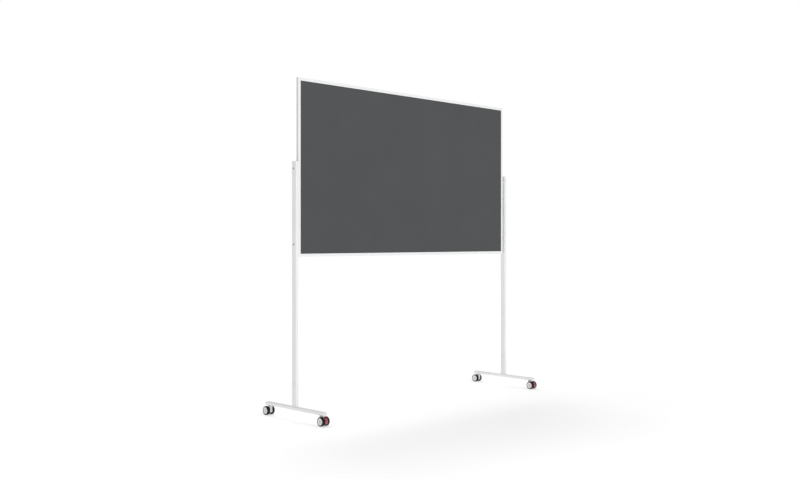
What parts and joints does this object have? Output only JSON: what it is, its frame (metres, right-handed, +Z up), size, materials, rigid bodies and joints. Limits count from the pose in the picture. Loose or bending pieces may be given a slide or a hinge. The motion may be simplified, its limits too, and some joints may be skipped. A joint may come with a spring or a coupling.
{
  "type": "mobile pinboard",
  "caption": "Freestanding felt pinboard in a slim rail frame, held between rectangular uprights whose flat feet run on swivel castors with foot brakes at the front.",
  "frame": {"origin": "on the floor, below the middle of the board and midway between the uprights", "axes": "+X along the board to the right as seen from the front, -Y towards the front, where the braked castors are, +Z up"},
  "size_m": [1.885, 0.5374, 1.911],
  "materials": {
    "rail": "white powder coat on aluminium",
    "tube": "white powder coat on steel",
    "cap": "white moulded plastic",
    "core": "pressed fibre board",
    "felt": "dark grey needled felt",
    "steel": "zinc plated",
    "castor_plastic": "light grey moulded plastic",
    "hub_plastic": "light grey moulded plastic",
    "tyre": "black soft tread",
    "pedal": "red moulded plastic"
  },
  "bodies": {
    "stand": {"frame_top": "rail", "frame_bottom": "rail", "frame_left": "rail", "frame_right": "rail", "frame_corner_keys": "steel", "frame_nut_blocks": "steel", "board_screws": "steel", "socket_bolts": "steel", "socket_nuts": "steel", "castor_inserts": "steel", "castor_stems": "steel", "board_core": "core", "felt_front": "felt", "felt_back": "felt", "upright_left": "tube", "upright_right": "tube", "foot_left": "tube", "foot_right": "tube", "foot_socket_left": "tube", "foot_socket_right": "tube", "upright_cap_left": "cap", "upright_cap_right": "cap", "board_spacers": "cap", "foot_cap_front_left": "cap", "foot_cap_front_right": "cap", "foot_cap_rear_left": "cap", "foot_cap_rear_right": "cap"},
    "castor_front_left": {"castor_body_front_left": "castor_plastic", "castor_axle_front_left": "steel"},
    "wheel_front_left_outer": {"wheel_hub_front_left_outer": "hub_plastic", "wheel_tyre_front_left_outer": "tyre"},
    "wheel_front_left_inner": {"wheel_hub_front_left_inner": "hub_plastic", "wheel_tyre_front_left_inner": "tyre"},
    "pedal_front_left": {"brake_pedal_front_left": "pedal"},
    "castor_front_right": {"castor_body_front_right": "castor_plastic", "castor_axle_front_right": "steel"},
    "wheel_front_right_outer": {"wheel_hub_front_right_outer": "hub_plastic", "wheel_tyre_front_right_outer": "tyre"},
    "wheel_front_right_inner": {"wheel_hub_front_right_inner": "hub_plastic", "wheel_tyre_front_right_inner": "tyre"},
    "pedal_front_right": {"brake_pedal_front_right": "pedal"},
    "castor_rear_left": {"castor_body_rear_left": "castor_plastic", "castor_axle_rear_left": "steel"},
    "wheel_rear_left_outer": {"wheel_hub_rear_left_outer": "hub_plastic", "wheel_tyre_rear_left_outer": "tyre"},
    "wheel_rear_left_inner": {"wheel_hub_rear_left_inner": "hub_plastic", "wheel_tyre_rear_left_inner": "tyre"},
    "castor_rear_right": {"castor_body_rear_right": "castor_plastic", "castor_axle_rear_right": "steel"},
    "wheel_rear_right_outer": {"wheel_hub_rear_right_outer": "hub_plastic", "wheel_tyre_rear_right_outer": "tyre"},
    "wheel_rear_right_inner": {"wheel_hub_rear_right_inner": "hub_plastic", "wheel_tyre_rear_right_inner": "tyre"}
  },
  "joints": [
    {"name": "swivel_front_left", "type": "hinge", "parent": "stand", "child": "castor_front_left", "pos_m": [-0.917, -0.227, 0.045], "axis": [0, 0, 1], "continuous": true},
    {"name": "roll_front_left_outer", "type": "hinge", "parent": "castor_front_left", "child": "wheel_front_left_outer", "pos_m": [-0.917, -0.242, 0.025], "axis": [1, 0, 0], "continuous": true},
    {"name": "roll_front_left_inner", "type": "hinge", "parent": "castor_front_left", "child": "wheel_front_left_inner", "pos_m": [-0.917, -0.242, 0.025], "axis": [1, 0, 0], "continuous": true},
    {"name": "brake_front_left", "type": "hinge", "parent": "castor_front_left", "child": "pedal_front_left", "pos_m": [-0.917, -0.242, 0.025], "axis": [1, 0, 0], "range_deg": [0, 20]},
    {"name": "swivel_front_right", "type": "hinge", "parent": "stand", "child": "castor_front_right", "pos_m": [0.917, -0.227, 0.045], "axis": [0, 0, 1], "continuous": true},
    {"name": "roll_front_right_outer", "type": "hinge", "parent": "castor_front_right", "child": "wheel_front_right_outer", "pos_m": [0.917, -0.242, 0.025], "axis": [1, 0, 0], "continuous": true},
    {"name": "roll_front_right_inner", "type": "hinge", "parent": "castor_front_right", "child": "wheel_front_right_inner", "pos_m": [0.917, -0.242, 0.025], "axis": [1, 0, 0], "continuous": true},
    {"name": "brake_front_right", "type": "hinge", "parent": "castor_front_right", "child": "pedal_front_right", "pos_m": [0.917, -0.242, 0.025], "axis": [1, 0, 0], "range_deg": [0, 20]},
    {"name": "swivel_rear_left", "type": "hinge", "parent": "stand", "child": "castor_rear_left", "pos_m": [-0.917, 0.227, 0.045], "axis": [0, 0, 1], "continuous": true},
    {"name": "roll_rear_left_outer", "type": "hinge", "parent": "castor_rear_left", "child": "wheel_rear_left_outer", "pos_m": [-0.917, 0.242, 0.025], "axis": [1, 0, 0], "continuous": true},
    {"name": "roll_rear_left_inner", "type": "hinge", "parent": "castor_rear_left", "child": "wheel_rear_left_inner", "pos_m": [-0.917, 0.242, 0.025], "axis": [1, 0, 0], "continuous": true},
    {"name": "swivel_rear_right", "type": "hinge", "parent": "stand", "child": "castor_rear_right", "pos_m": [0.917, 0.227, 0.045], "axis": [0, 0, 1], "continuous": true},
    {"name": "roll_rear_right_outer", "type": "hinge", "parent": "castor_rear_right", "child": "wheel_rear_right_outer", "pos_m": [0.917, 0.242, 0.025], "axis": [1, 0, 0], "continuous": true},
    {"name": "roll_rear_right_inner", "type": "hinge", "parent": "castor_rear_right", "child": "wheel_rear_right_inner", "pos_m": [0.917, 0.242, 0.025], "axis": [1, 0, 0], "continuous": true}
  ]
}
